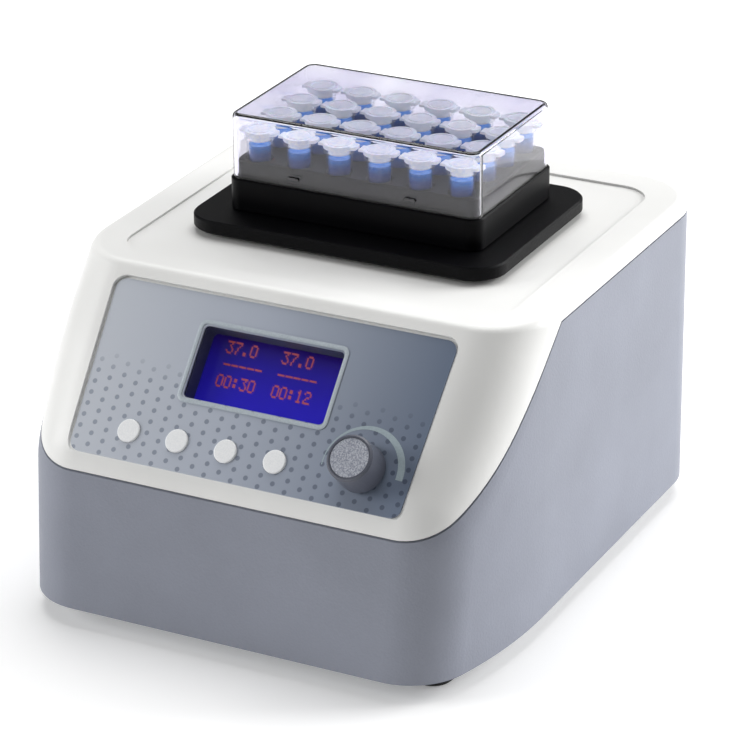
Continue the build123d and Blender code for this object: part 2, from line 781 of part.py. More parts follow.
def make_motor():
    """Brushless motor hung under the deck, hollow for its rotor."""
    motor = upright_cylinder(motor_diameter, motor_bottom, deck_bottom, (0, crank_y))
    motor = chamfer(motor.edges().group_by(Axis.Z)[0], 1.5)
    rotor_room = bearing_bore + 16 + 1.2
    motor = motor - upright_cylinder(rotor_room, motor_bottom + 4, deck_bottom - 4, (0, crank_y))
    motor = motor - upright_cylinder(bearing_bore + 2 * running_clearance, motor_bottom + 1.5, deck_bottom + 1,
                                     (0, crank_y))
    return motor


def make_crank_shaft():
    """Motor shaft with its rotor below, and a web and an eccentric pin above."""
    pin_diameter = bearing_bore - 2 * running_clearance
    shaft_bottom = motor_bottom + 2
    web_bottom = deck_top + 3 + counterweight_thickness
    web_top = web_bottom + crank_web_thickness
    shaft = upright_cylinder(pin_diameter, shaft_bottom, web_bottom, (0, crank_y))
    rotor = upright_cylinder(bearing_bore + 16, motor_bottom + 5, deck_bottom - 5, (0, crank_y))
    web = upright_cylinder(crank_web_diameter, web_bottom, web_top, (0, crank_y))
    pin = upright_cylinder(pin_diameter, web_top, orbit_plate_bottom + bearing_width - 0.2, (0, platform_y))
    return shaft + rotor + web + pin


def make_counterweight():
    """Half-round weight on the crank shaft, opposite the eccentric pin."""
    bottom = deck_top + 3
    top = bottom + counterweight_thickness
    disc = upright_cylinder(2 * counterweight_radius, bottom, top, (0, crank_y))
    half = slab(2 * counterweight_radius, counterweight_radius, bottom - 1, top + 1,
                (0, crank_y + bearing_bore + counterweight_radius / 2))
    hub_bore = upright_cylinder(bearing_bore, bottom - 1, top + 1, (0, crank_y))
    return disc - half - hub_bore


def make_idler(center):
    """Idler crank: a journal in the deck, a web and an upper pin with the same throw as the crank."""
    x, y = center
    journal_diameter = idler_bearing_bore - 2 * running_clearance
    web_bottom = deck_top + 4
    web_top = web_bottom + crank_web_thickness
    journal = upright_cylinder(journal_diameter, deck_top - idler_bearing_width + 0.1, web_bottom, center)
    web = upright_cylinder(idler_web_diameter, web_bottom, web_top, center)
    pin_top = orbit_plate_bottom + idler_bearing_width - 0.2
    pin = upright_cylinder(journal_diameter, web_top, pin_top, (x, y + orbit_radius))
    return journal + web + pin


def make_platform_screws():
    """Clamp screws from under the orbiting plate up into the contact plate."""
    length = contact_top - 2 - orbit_plate_bottom
    return [pan_screw(place, orbit_plate_bottom - screw_head_height, length) for place in leg_centers()]


def make_overlay():
    """Printed panel film with a cut-out for the display, the keys and the knob shaft."""
    film = overlay_block(overlay_bottom, overlay_top, 0)
    film = film - panel_block(window_width, window_height, overlay_bottom - 1, 1, window_radius, window_center)
    for place in key_places:
        film = film - panel_cylinder(key_diameter + 2 * fit_clearance, overlay_bottom - 1, 1, place)
    return film - panel_cylinder(shaft_diameter + 1, overlay_bottom - 1, 1, knob_position)


def make_display_window():
    """Clear pane under the cut-out in the panel film."""
    width = window_width + 2 * bezel_wall
    height = window_height + 2 * bezel_wall
    return panel_block(width, height, window_bottom, overlay_bottom, window_radius, window_center)


def make_display_bezel():
    """Dark tunnel between the clear pane and the display."""
    width = window_width + 2 * bezel_wall
    height = window_height + 2 * bezel_wall
    bezel = panel_block(width, height, display_top, window_bottom, window_radius, window_center)
    return bezel - panel_block(window_width, window_height, display_top - 1, 1, window_radius, window_center)


def make_display_glass():
    """Glass of the display."""
    width = window_width + 2 * bezel_wall
    height = window_height + 2 * bezel_wall
    return panel_block(width, height, display_bottom, display_top, 0.8, window_center)


def make_display_frame():
    """Metal frame and backlight behind the display glass."""
    width = window_width + 2 * bezel_wall + 6
    height = window_height + 2 * bezel_wall + 4
    return panel_block(width, height, board_top, display_bottom, 1.0, window_center)


def make_front_board():
    """Circuit board behind the control panel."""
    board = panel_block(front_board_width, front_board_height, board_bottom, board_top, 2.0, front_board_center)
    for place in front_board_posts():
        board = board - panel_cylinder(2.8, board_bottom - 1, board_top + 1, place)
    return board


def make_front_board_screws():
    """Screws that hold the front board to the posts of the cover."""
    screws = []
    for place in front_board_posts():
        head = panel_cylinder(5.0, board_bottom - 1.6, board_bottom, place)
        screws.append(head + panel_cylinder(2.2, board_bottom, board_top + 5, place))
    return screws


def make_key_switches():
    """Housings of the four push switches on the front board."""
    housings = []
    for place in key_places:
        housing = panel_block(switch_size, switch_size, board_top, board_top + switch_height, 0.6, place)
        housings.append(housing - panel_cylinder(3.6, board_top + 1.5, board_top + 10, place))
    return housings


def make_key(place):
    """One round key with a retaining rim and a stem into its switch."""
    top = overlay_top + key_rise
    key = panel_cylinder(key_diameter, pad_bottom, top, place)
    rim_edge = key.edges().filter_by(GeomType.CIRCLE).sort_by_distance(panel.from_local_coords((*place, top)))[0]
    key = fillet(rim_edge, 0.5)
    rim_top = pad_bottom + 1.6 - 0.1
    key = key + panel_cylinder(key_diameter + 2 * key_rim, pad_bottom - 0.4, rim_top, place)
    stem_bottom = board_top + 1.5 + key_travel + 0.3
    return key + panel_cylinder(3.4, stem_bottom, pad_bottom, place)


def make_encoder_body():
    """Rotary encoder on the front board, with a threaded bushing."""
    body = panel_block(encoder_size, encoder_size, board_top, board_top + encoder_height, 0.8, knob_position)
    bushing = panel_cylinder(bushing_diameter, board_top + encoder_height, overlay_bottom - 0.3, knob_position)
    body = body + bushing
    bore = shaft_diameter + 2 * running_clearance
    body = body - panel_cylinder(bore, board_top + 2, 1, knob_position)
    return body - panel_cylinder(bore + 3, board_top + 1, board_top + 4.5, knob_position)


def make_encoder_plunger():
    """Sliding cup in the encoder that takes the push of the shaft."""
    bottom = board_top + 1 + knob_push + 0.3
    return panel_cylinder(shaft_diameter + 2.6, bottom, bottom + 1.6, knob_position)


def make_encoder_shaft():
    """Shaft from the encoder up into the knob."""
    bottom = board_top + 1 + knob_push + 0.3 + 1.6
    return panel_cylinder(shaft_diameter, bottom, knob_bottom + knob_height - 4, knob_position)


def make_knob():
    """Round push-and-turn knob with a recess for its face disc."""
    radius = knob_diameter / 2
    outline = [(0, 0), (radius, 0), (radius - knob_draft, knob_height), (0, knob_height)]
    section = make_face(Polyline(*outline, close=True))
    knob = revolve(Plane.XZ * section, Axis.Z)
    knob = chamfer(knob.edges().filter_by(GeomType.CIRCLE).group_by(Axis.Z)[-1], 0.7)
    knob = panel * Pos(knob_position[0], knob_position[1], knob_bottom) * knob
    face = knob_bottom + knob_height
    knob = knob - panel_cylinder(insert_diameter + 2 * fit_clearance, face - insert_thickness, face + 1,
                                 knob_position)
    return knob - panel_cylinder(shaft_diameter + 0.04, knob_bottom - 1, face - 4, knob_position)


def make_knob_insert():
    """Textured disc in the face of the knob."""
    face = knob_bottom + knob_height
    return panel_cylinder(insert_diameter, face - insert_thickness, face - 0.2, knob_position)


def back_block(width, height, front, back, x, z, radius=0.8):
    """Block standing across the back wall, between two depths."""
    outline = RectangleRounded(width, height, radius)
    return Pos(x, back, z) * extrude(Plane.XZ * outline, amount=back - front)


def drawer_z():
    """Height of the fuse drawer above the socket."""
    return back_panel_z + inlet_height / 2 - 2.6 - drawer_height / 2


def socket_z():
    """Height of the middle of the mains socket."""
    return back_panel_z - inlet_height / 2 + 2.4 + socket_height / 2


def make_back_panel():
    """Metal plate with the cut-outs for the inlet, the switch and the data port."""
    outer = back_y - back_panel_sink
    inner = outer - back_panel_thickness
    plate = back_block(back_panel_width, back_panel_height, inner, outer, 0, back_panel_z, 2.0)
    plate = plate - back_block(inlet_width, inlet_height, inner - 1, outer + 1, inlet_x, back_panel_z)
    plate = plate - back_block(rocker_width + 3, rocker_height + 3, inner - 1, outer + 1, switch_x, back_panel_z)
    return plate - back_block(port_width, port_height, inner - 1, outer + 1, port_x, back_panel_z)


def make_inlet():
    """Mains inlet housing with its socket and the chamber of the fuse drawer."""
    outer = back_y - back_panel_sink
    body = back_block(inlet_width - 0.3, inlet_height - 0.3, outer - inlet_depth, outer, inlet_x, back_panel_z)
    body = body + back_block(inlet_width + 5, inlet_height + 5, outer, outer + inlet_flange, inlet_x,
                             back_panel_z, 2.0)
    face = outer + inlet_flange
    body = body - back_block(socket_width, socket_height, face - socket_depth, face + 1, inlet_x, socket_z(), 3.0)
    return body - back_block(socket_width - 2, drawer_height, face - drawer_length - 1, face + 1, inlet_x,
                             drawer_z(), 0.5)


def make_inlet_pins():
    """Three flat contact pins in the mains socket."""
    face = back_y - back_panel_sink + inlet_flange
    pins = []
    for x, z in ((-7.0, -1.5), (0.0, 2.5), (7.0, -1.5)):
        pins.append(back_block(2.0, 4.0, face - socket_depth, face - 3, inlet_x + x, socket_z() + z, 0.4))
    return pins


def make_fuse_drawer():
    """Small drawer for the fuses, above the mains socket."""
    face = back_y - back_panel_sink + inlet_flange
    clearance = 2 * fit_clearance
    drawer = back_block(socket_width - 2 - clearance, drawer_height - clearance, face - drawer_length,
                        face - 0.1, inlet_x, drawer_z(), 0.4)
    tray = back_block(socket_width - 6, drawer_height, face - drawer_length + 2, face - 4, inlet_x,
                      drawer_z() + 1.6, 0.4)
    grip = back_block(7.0, 1.2, face - 1.0, face + 1, inlet_x, drawer_z() - 1.6, 0.4)
    return drawer - tray - grip


def make_rocker_switch():
    """Housing of the mains switch."""
    outer = back_y - back_panel_sink
    body = back_block(rocker_width + 2.6, rocker_height + 2.6, outer - 18, outer, switch_x, back_panel_z)
    body = body + back_block(rocker_width + 5, rocker_height + 5, outer, outer + 1.2, switch_x, back_panel_z, 1.2)
    return body - back_block(rocker_width + 0.4, rocker_height + 0.4, outer - 14, outer + 2, switch_x,
                             back_panel_z, 0.6)


def rocker_axis_y():
    """Depth of the pivot of the rocker."""
    return back_y - back_panel_sink - 7.0


def make_rocker():
    """Rocker of the mains switch, pressed at its lower end."""
    rocker_x = rocker_width / 2
    disc = Pos(switch_x, rocker_axis_y(), back_panel_z) * Rot(0, 90, 0) * Cylinder(rocker_height / 2 - 0.6,
                                                                                  2 * rocker_x)
    face = back_y - back_panel_sink
    keep = Pos(switch_x, face - 6, back_panel_z) * Box(rocker_width, 14, rocker_height)
    disc = disc & keep
    dish = Pos(switch_x, face + rocker_radius + 0.2, back_panel_z) * Rot(0, 90, 0) * Cylinder(
        rocker_radius, rocker_width + 2)
    return disc - dish


def make_data_port():
    """Data socket on the back panel."""
    outer = back_y - back_panel_sink
    body = back_block(port_width - 0.3, port_height - 0.3, outer - 16, outer, port_x, back_panel_z)
    body = body + back_block(port_width + 3, port_height + 3, outer, outer + 0.8, port_x, back_panel_z, 1.0)
    return body - back_block(9.0, 7.6, outer - 9, outer + 2, port_x, back_panel_z, 0.6)


def make_fan_frame():
    """Square frame of the fan behind the vents."""
    center = Pos(0, (fan_back + fan_front) / 2, fan_height)
    frame = center * Box(fan_size, fan_depth, fan_size)
    frame = fillet(frame.edges().filter_by(Axis.Y), 3.0)
    frame = frame - center * Rot(90, 0, 0) * Cylinder(fan_rotor_diameter / 2 + 1, fan_depth + 2)
    hub_depth = 3.0
    hub = Pos(0, fan_back - hub_depth / 2, fan_height) * Rot(90, 0, 0) * Cylinder(fan_hub_diameter / 2, hub_depth)
    for angle in (45, 135):
        bar = Pos(0, fan_back - 1.0, fan_height) * Rot(0, angle, 0) * Box(fan_rotor_diameter + 4, 2.0, 3.0)
        hub = hub + bar
    pin = Pos(0, fan_back - 6, fan_height) * Rot(90, 0, 0) * Cylinder(1.5, 6.5)
    return frame + hub + pin


def make_fan_rotor():
    """Fan rotor: a hub with seven pitched blades."""
    depth = fan_depth - 4.5
    middle = fan_back - 3.6 - depth / 2
    hub = Pos(0, middle, fan_height) * Rot(90, 0, 0) * Cylinder(fan_hub_diameter / 2, depth)
    rotor = hub
    blade_length = (fan_rotor_diameter - fan_hub_diameter) / 2
    for index in range(7):
        blade = Pos(fan_hub_diameter / 2 + blade_length / 2 - 0.8, 0, 0) * Rot(35, 0, 0) * Box(
            blade_length, 1.4, depth * 1.1)
        rotor = rotor + Pos(0, middle, fan_height) * Rot(0, index * 360 / 7, 0) * blade
    rim = Pos(0, middle, fan_height) * Rot(90, 0, 0) * Cylinder(fan_rotor_diameter / 2, depth)
    rotor = rotor & rim
    bore = Pos(0, fan_back, fan_height) * Rot(90, 0, 0) * Cylinder(1.5 + running_clearance, 2 * 9.6)
    return rotor - bore


def make_main_board():
    """Control board on the bottom plate."""
    bottom = plate_top + standoff_height
    board = slab(*main_board_size, bottom, bottom + board_thickness, main_board_center)
    for place in standoff_centers():
        board = board - upright_cylinder(3.0, bottom - 1, bottom + board_thickness + 1, place)
    return board


def standoff_centers():
    """Places of the standoffs under the control board."""
    half_x = main_board_size[0] / 2 - 4
    half_y = main_board_size[1] / 2 - 4
    return [
        (main_board_center[0] + side_x * half_x, main_board_center[1] + side_y * half_y)
        for side_x in (-1, 1) for side_y in (-1, 1)
    ]


def make_standoffs():
    """Standoffs between the bottom plate and the control board, each with its peg."""
    pieces = []
    for place in standoff_centers():
        top = plate_top + standoff_height
        piece = upright_cylinder(6.0, plate_top, top, place)
        pieces.append(piece + upright_cylinder(2.8, top, top + board_thickness + 1.2, place))
    return pieces


def make_board_components():
    """Capacitors, a transformer and a driver heat sink on the control board."""
    bottom = plate_top + standoff_height + board_thickness
    x, y = main_board_center
    parts = [slab(22, 18, bottom, bottom + 16, (x - 14, y + 8))]
    parts.append(slab(6, 34, bottom, bottom + 20, (x + 22, y)))
    for index in range(3):
        parts.append(upright_cylinder(9.0, bottom, bottom + 14, (x - 2 + index * 0.5, y - 14 + index * 12)))
    return parts


def make_power_supply():
    """Closed power supply on the bottom plate, with a row of terminals."""
    width, length, height = supply_size
    body = rounded_block(width, length, plate_top, plate_top + height, 1.5, supply_center)
    notch = slab(width + 2, 12, plate_top + height * 0.4, plate_top + height + 1,
                 (supply_center[0], supply_center[1] - length / 2 + 6))
    return body - notch


def write(name, shape):
    """Writes one sub-part, either one solid or a group of separate ones."""
    if isinstance(shape, list):
        shape = Compound(children=shape)
    export_step(shape, "parts/" + name + ".step")


def main():
    os.makedirs("parts", exist_ok=True)
    outer = case_solid(0, case_bottom)
    inner = case_solid(wall, case_bottom - 5)
    idler_names = ["front_left", "front_right", "rear_left", "rear_right"]
    pieces = {
        "top_cover": make_top_cover(outer, inner),
        "base_shell": make_base_shell(outer, inner),
        "bottom_plate": make_bottom_plate(),
        "rubber_feet": make_feet(),
        "foot_screws": make_foot_screws(),
        "case_screws": make_case_screws(),
        "platform_flange": make_flange(),
        "tube_block": make_block(),
        "tube_bodies": spread_over_wells(make_one_tube()),
        "tube_filling": spread_over_wells(make_one_filling()),
        "tube_caps": spread_over_wells(make_one_cap()),
        "clear_lid": make_lid(),
        "contact_plate": make_contact_plate(),
        "peltier_modules": make_peltier_modules(),
        "insulator_frame": make_insulator(),
        "heat_sink": make_heat_sink(),
        "orbit_plate": make_orbit_plate(),
        "orbit_bearings": make_orbit_bearings(),
        "platform_screws": make_platform_screws(),
        "deck_plate": make_deck(),
        "deck_bearings": make_deck_bearings(),
        "deck_pillars": make_pillars(),
        "deck_screws": make_deck_screws(),
        "drive_motor": make_motor(),
        "crank_shaft": make_crank_shaft(),
        "counterweight": make_counterweight(),
        "control_overlay": make_overlay(),
        "display_window": make_display_window(),
        "display_bezel": make_display_bezel(),
        "display_glass": make_display_glass(),
        "display_frame": make_display_frame(),
        "front_board": make_front_board(),
        "front_board_screws": make_front_board_screws(),
        "key_switches": make_key_switches(),
        "encoder_body": make_encoder_body(),
        "encoder_plunger": make_encoder_plunger(),
        "encoder_shaft": make_encoder_shaft(),
        "control_knob": make_knob(),
        "knob_insert": make_knob_insert(),
        "back_panel": make_back_panel(),
        "mains_inlet": make_inlet(),
        "inlet_pins": make_inlet_pins(),
        "fuse_drawer": make_fuse_drawer(),
        "switch_housing": make_rocker_switch(),
        "switch_rocker": make_rocker(),
        "data_port": make_data_port(),
        "fan_frame": make_fan_frame(),
        "fan_rotor": make_fan_rotor(),
        "main_board": make_main_board(),
        "board_standoffs": make_standoffs(),
        "board_components": make_board_components(),
        "power_supply": make_power_supply(),
    }
    for name, place in zip(idler_names, idler_centers()):
        pieces[name + "_idler"] = make_idler(place)
    key_names = ["program_key", "temperature_key", "time_key", "speed_key"]
    for name, place in zip(key_names, key_places):
        pieces[name] = make_key(place)
    for name, shape in pieces.items():
        write(name, shape)


main()
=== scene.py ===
"""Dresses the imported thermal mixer: a finish for every solid, three modelled details and the studio."""
from math import cos, radians, sin

import bpy
from mathutils import Matrix, Vector


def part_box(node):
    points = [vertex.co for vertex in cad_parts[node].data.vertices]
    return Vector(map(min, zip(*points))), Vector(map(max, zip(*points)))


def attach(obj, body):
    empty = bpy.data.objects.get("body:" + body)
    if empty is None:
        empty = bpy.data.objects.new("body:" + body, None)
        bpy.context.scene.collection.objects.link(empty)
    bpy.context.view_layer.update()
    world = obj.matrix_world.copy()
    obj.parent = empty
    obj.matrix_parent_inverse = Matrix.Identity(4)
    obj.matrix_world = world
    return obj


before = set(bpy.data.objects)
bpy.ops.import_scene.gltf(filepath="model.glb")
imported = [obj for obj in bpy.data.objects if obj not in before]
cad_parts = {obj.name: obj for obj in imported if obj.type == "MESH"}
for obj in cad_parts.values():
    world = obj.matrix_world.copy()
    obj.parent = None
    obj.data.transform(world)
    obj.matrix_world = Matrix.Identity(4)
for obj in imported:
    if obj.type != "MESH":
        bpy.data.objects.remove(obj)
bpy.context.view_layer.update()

bl_info = {
    "name": "Thermal mixer dressing",
    "version": (1, 0, 0),
    "blender": (4, 5, 0),
    "location": "View3D > Sidebar > Mixer",
    "description": "Finishes, printed details and studio for a benchtop thermal mixer",
    "category": "Object",
}

MM = 0.001
SLOPE = radians(48.7)
PANEL_NORMAL = Vector((0, -sin(SLOPE), cos(SLOPE)))
FILM_THICKNESS = 0.8
FILM_HALF_WIDTH = 75.0
RING_MIDDLE = (-0.6, 8.7)
KNOB_UP_SLOPE = -19.9
ARC_END_UP_SLOPE = -21.4
LIQUID_HEIGHT = 8.5
FILM_LOW, FILM_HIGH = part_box("control_overlay")
FILM_FACE = (FILM_LOW + FILM_HIGH) / 2 + PANEL_NORMAL * FILM_THICKNESS / 2 * MM
BLOCK_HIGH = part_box("tube_block")[1]


def on_panel(x, y, lift=0.0):
    """A point on the control panel, in metres, from mm to the right, up the slope and off the film."""
    up_slope = Vector((0, cos(SLOPE), sin(SLOPE)))
    return FILM_FACE + (Vector((1, 0, 0)) * x + up_slope * y + PANEL_NORMAL * lift) * MM


def linear(code):
    """An sRGB hex colour as linear red, green, blue and alpha."""
    parts = [int(code[index:index + 2], 16) / 255 for index in (0, 2, 4)]
    light = [part / 12.92 if part <= 0.04045 else ((part + 0.055) / 1.055) ** 2.4 for part in parts]
    return tuple(light) + (1.0,)


def feed(tree, node, inputs):
    """Sets the node's inputs, each to a value or to the socket that feeds it."""
    for key, value in inputs.items():
        if isinstance(value, bpy.types.NodeSocket):
            tree.links.new(value, node.inputs[key])
        else:
            node.inputs[key].default_value = value


def add(tree, kind, inputs=None, **settings):
    """Adds one shader node with its settings and links, and returns its first output."""
    node = tree.nodes.new("ShaderNode" + kind)
    for name, value in settings.items():
        setattr(node, name, value)
    feed(tree, node, inputs or {})
    return node.outputs[0]


def new_finish(name, colour, roughness, **sockets):
    """A material with its plain shader values set. Returns it with its tree and its shader."""
    material = bpy.data.materials.new(name)
    material.use_nodes = True
    tree = material.node_tree
    shader = tree.nodes["Principled BSDF"]
    plain = {"Base Color": colour, "Roughness": roughness}
    plain.update({key.replace("_", " "): value for key, value in sockets.items()})
    feed(tree, shader, plain)
    return material, tree, shader


def millimetres(tree):
    """Object coordinates in millimetres."""
    coordinates = tree.nodes.new("ShaderNodeTexCoord")
    return add(tree, "VectorMath", {0: coordinates.outputs["Object"], 3: 1000.0}, operation="SCALE")


def maths(tree, operation, first, second=0.0, third=0.0):
    """One arithmetic step."""
    return add(tree, "Math", {0: first, 1: second, 2: third}, operation=operation)


def ramp(tree, value, stops):
    """A colour ramp through (position, colour) stops."""
    node = tree.nodes.new("ShaderNodeValToRGB")
    elements = node.color_ramp.elements
    while len(elements) < len(stops):
        elements.new(0.5)
    for element, (position, colour) in zip(elements, stops):
        element.position = position
        element.color = colour
    tree.links.new(value, node.inputs["Fac"])
    return node.outputs["Color"]


def bump(tree, shader, height, depth_mm):
    """Raises the surface by depth_mm where height is one."""
    normal = add(tree, "Bump", {"Height": height, "Distance": depth_mm * MM, "Strength": 1.0})
    feed(tree, shader, {"Normal": normal})


def moulded_abs(name, colour, shade, roughness, grain_mm, depth_mm):
    """ABS, injection moulded in a spark-eroded mould: an even satin grain, with a slightly uneven tone."""
    material, tree, shader = new_finish(name, linear(colour), roughness, IOR=1.52)
    place = millimetres(tree)
    grain = add(tree, "TexNoise", {"Vector": place, "Scale": 1 / grain_mm, "Detail": 3.0, "Roughness": 0.6})
    cloud = add(tree, "TexNoise", {"Vector": place, "Scale": 1 / 60, "Detail": 2.0})
    tone = ramp(tree, cloud, [(0.35, linear(shade)), (0.65, linear(colour))])
    feed(tree, shader, {"Base Color": tone})
    bump(tree, shader, grain, depth_mm)
    return material


def leather_grained_abs(name, colour, shade):
    """ABS from a mould etched with a leather grain: flat cells with soft valleys, about 0.9 mm across."""
    material, tree, shader = new_finish(name, linear(colour), 0.5, IOR=1.52)
    place = millimetres(tree)
    cells = add(tree, "TexVoronoi", {"Vector": place, "Scale": 1 / 0.9, "Randomness": 1.0},
                feature="SMOOTH_F1")
    fine = add(tree, "TexNoise", {"Vector": place, "Scale": 1 / 0.35, "Detail": 2.0})
    height = maths(tree, "MULTIPLY_ADD", fine, 0.35, cells)
    cloud = add(tree, "TexNoise", {"Vector": place, "Scale": 1 / 45, "Detail": 3.0})
    mottle = maths(tree, "MULTIPLY_ADD", cells, 0.16, cloud)
    tone = ramp(tree, mottle, [(0.3, linear(shade)), (0.75, linear(colour))])
    feed(tree, shader, {"Base Color": tone})
    bump(tree, shader, height, 0.07)
    return material


def black_anodised(name, grain_mm, depth_mm, roughness):
    """Aluminium, bead blasted and anodised black: a fine grit on a near-black oxide, with painted sparkle
    that makes the grit's high points paler.
    """
    material, tree, shader = new_finish(name, linear("08080b"), roughness, IOR=1.45,
                                        Specular_IOR_Level=0.12)
    place = millimetres(tree)
    grit_and_sparkle = add(tree, "TexNoise", {"Vector": place, "Scale": 1 / grain_mm, "Detail": 4.0, "Roughness": 0.7})
    # painted sparkle: the palest stop lightens the grit's high points as glints would
    tone = ramp(tree, grit_and_sparkle, [(0.35, linear("030305")), (0.62, linear("07070a")), (0.8, linear("1c1c24"))])
    feed(tree, shader, {"Base Color": tone})
    bump(tree, shader, grit_and_sparkle, depth_mm)
    return material


def edge_share(tree, head_on, grazing):
    """How much of a clear wall shows: least where it is met head on, most where it is seen on edge."""
    facing = add(tree, "LayerWeight", {"Blend": 0.3}).node.outputs["Facing"]
    return add(tree, "MapRange", {"Value": facing, "To Min": head_on, "To Max": grazing})


def cast_acrylic(name, tint, index, head_on, grazing):
    """Acrylic, moulded and polished: nearly clear, with a faint violet cast."""
    material, tree, shader = new_finish(name, linear(tint), 0.02, IOR=index, Transmission_Weight=1.0,
                                        Specular_IOR_Level=0.3)
    place = millimetres(tree)
    wave = add(tree, "TexNoise", {"Vector": place, "Scale": 1 / 25, "Detail": 1.0})
    tone = ramp(tree, wave, [(0.3, linear(tint)), (0.9, linear("fbfbff"))])
    feed(tree, shader, {"Base Color": tone, "Alpha": edge_share(tree, head_on, grazing)})
    bump(tree, shader, wave, 0.02)
    return material


def blown_polypropylene(name):
    """Natural polypropylene, moulded thin: milky where it stands clear of the liquid."""
    material, tree, shader = new_finish(name, linear("e4eef8"), 0.16, IOR=1.15, Transmission_Weight=0.92,
                                        Coat_Weight=1.0, Coat_Roughness=0.12)
    place = millimetres(tree)
    haze = add(tree, "TexNoise", {"Vector": place, "Scale": 1 / 2.5, "Detail": 2.0})
    tone = ramp(tree, haze, [(0.3, linear("d6e6f8")), (0.7, linear("f8fbff"))])
    feed(tree, shader, {"Base Color": tone, "Alpha": edge_share(tree, 0.03, 0.45)})
    bump(tree, shader, haze, 0.03)
    return material


def dyed_water(name):
    """Water dyed blue, with painted light that makes it bright at its top, painted shade that makes it deep
    further down, and paler specks of froth.

    Its slight glow stands in for the light that the lid holds back.
    """
    material, tree, shader = new_finish(name, linear("1667c4"), 0.12, IOR=1.34)
    place = millimetres(tree)
    height = add(tree, "SeparateXYZ", {"Vector": place}).node.outputs["Z"]
    froth = add(tree, "TexNoise", {"Vector": place, "Scale": 1 / 1.1, "Detail": 3.0, "Roughness": 0.65})
    raised = maths(tree, "MULTIPLY_ADD", froth, 3.0, height)
    surface = BLOCK_HIGH.z / MM
    share = add(tree, "MapRange", {"Value": raised, "From Min": surface,
                                   "From Max": surface + LIQUID_HEIGHT})
    # painted shade low down near the block and painted light at the top of the liquid; the froth noise
    # breaks up the edge
    tone = ramp(tree, share, [(0.0, linear("02285e")), (0.5, linear("084ea6")), (0.82, linear("2585e2")),
                              (1.0, linear("a4d2f8"))])
    feed(tree, shader, {"Base Color": tone, "Emission Color": tone, "Emission Strength": 0.1})
    bump(tree, shader, froth, 0.08)
    return material


def frosted_polypropylene(name):
    """Natural polypropylene, moulded thick: white and waxy.

    Its slight glow stands in for the light that the lid holds back.
    """
    material, tree, shader = new_finish(name, linear("eef2f8"), 0.3, IOR=1.49, Subsurface_Weight=0.2)
    feed(tree, shader, {"Subsurface Scale": 0.002})
    place = millimetres(tree)
    haze = add(tree, "TexNoise", {"Vector": place, "Scale": 1 / 1.8, "Detail": 2.0})
    tone = ramp(tree, haze, [(0.3, linear("e2eaf3")), (0.7, linear("f8fafd"))])
    feed(tree, shader, {"Base Color": tone, "Emission Color": tone, "Emission Strength": 0.32})
    bump(tree, shader, haze, 0.03)
    return material


def panel_millimetres(tree):
    """Coordinates in the film's own plane: x to the right, y up the slope, in millimetres."""
    coordinates = tree.nodes.new("ShaderNodeTexCoord")
    return add(tree, "Mapping", {"Vector": coordinates.outputs["Object"], "Location": FILM_FACE,
                                 "Rotation": (SLOPE, 0, 0), "Scale": (MM, MM, MM)}, vector_type="TEXTURE")


def printed_polyester(name):
    """Polyester film, printed on its back: grey that darkens to the right, with staggered dots."""
    look = bpy.context.scene.mixer_print
    material, tree, shader = new_finish(name, look.film_left, 0.32, IOR=1.6, Coat_Weight=0.25,
                                        Coat_Roughness=0.2)
    place = panel_millimetres(tree)
    parts = add(tree, "SeparateXYZ", {"Vector": place})
    x, y = parts, parts.node.outputs["Y"]
    across = add(tree, "MapRange", {"Value": x, "From Min": -FILM_HALF_WIDTH,
                                    "From Max": FILM_HALF_WIDTH})
    ground = ramp(tree, across, [(0.0, look.film_left), (0.45, look.film_middle), (1.0, look.film_right)])
    inks = []
    for shift_x, shift_y in ((0.0, 0.0), (look.dot_pitch_x / 2, look.dot_pitch_y / 2)):
        from_x = maths(tree, "SUBTRACT", x, look.dot_x + shift_x)
        from_y = maths(tree, "SUBTRACT", y, look.dot_y + shift_y)
        cell_x = maths(tree, "PINGPONG", from_x, look.dot_pitch_x / 2)
        cell_y = maths(tree, "PINGPONG", from_y, look.dot_pitch_y / 2)
        squares = maths(tree, "MULTIPLY_ADD", cell_y, cell_y, maths(tree, "MULTIPLY", cell_x, cell_x))
        reach = maths(tree, "SQRT", squares)
        inks.append(add(tree, "MapRange", {"Value": reach, "From Min": look.dot_size / 2 + look.dot_blur,
                                           "From Max": look.dot_size / 2 - look.dot_blur}))
    ink = maths(tree, "MAXIMUM", *inks)
    fade = add(tree, "MapRange", {"Value": y, "From Min": look.dot_top,
                                  "From Max": look.dot_top - look.dot_fade, "To Min": 0.25})
    below = maths(tree, "LESS_THAN", y, look.dot_top)
    strength = maths(tree, "MULTIPLY", maths(tree, "MULTIPLY", ink, fade), below)
    strength = maths(tree, "MULTIPLY", strength, look.dot_ink)
    dark = ramp(tree, across, [(0.0, look.dot_left), (1.0, look.dot_right)])
    mixed = add(tree, "Mix", {0: strength, 6: ground, 7: dark}, data_type="RGBA")
    feed(tree, shader, {"Base Color": mixed.node.outputs[2]})
    pebble = add(tree, "TexNoise", {"Vector": panel_millimetres(tree), "Scale": 1 / 0.4, "Detail": 2.0})
    bump(tree, shader, pebble, 0.01)
    return material


def zinc_plated_steel(name):
    """Sheet steel, rolled and zinc plated: a cool grey with faint spangles."""
    material, tree, shader = new_finish(name, linear("b9bcc0"), 0.38, Metallic=1.0)
    place = millimetres(tree)
    spangle = add(tree, "TexVoronoi", {"Vector": place, "Scale": 1 / 5.0})
    tone = ramp(tree, spangle, [(0.1, linear("9fa3a8")), (0.7, linear("b9bcc0"))])
    feed(tree, shader, {"Base Color": tone})
    bump(tree, shader, spangle, 0.01)
    return material


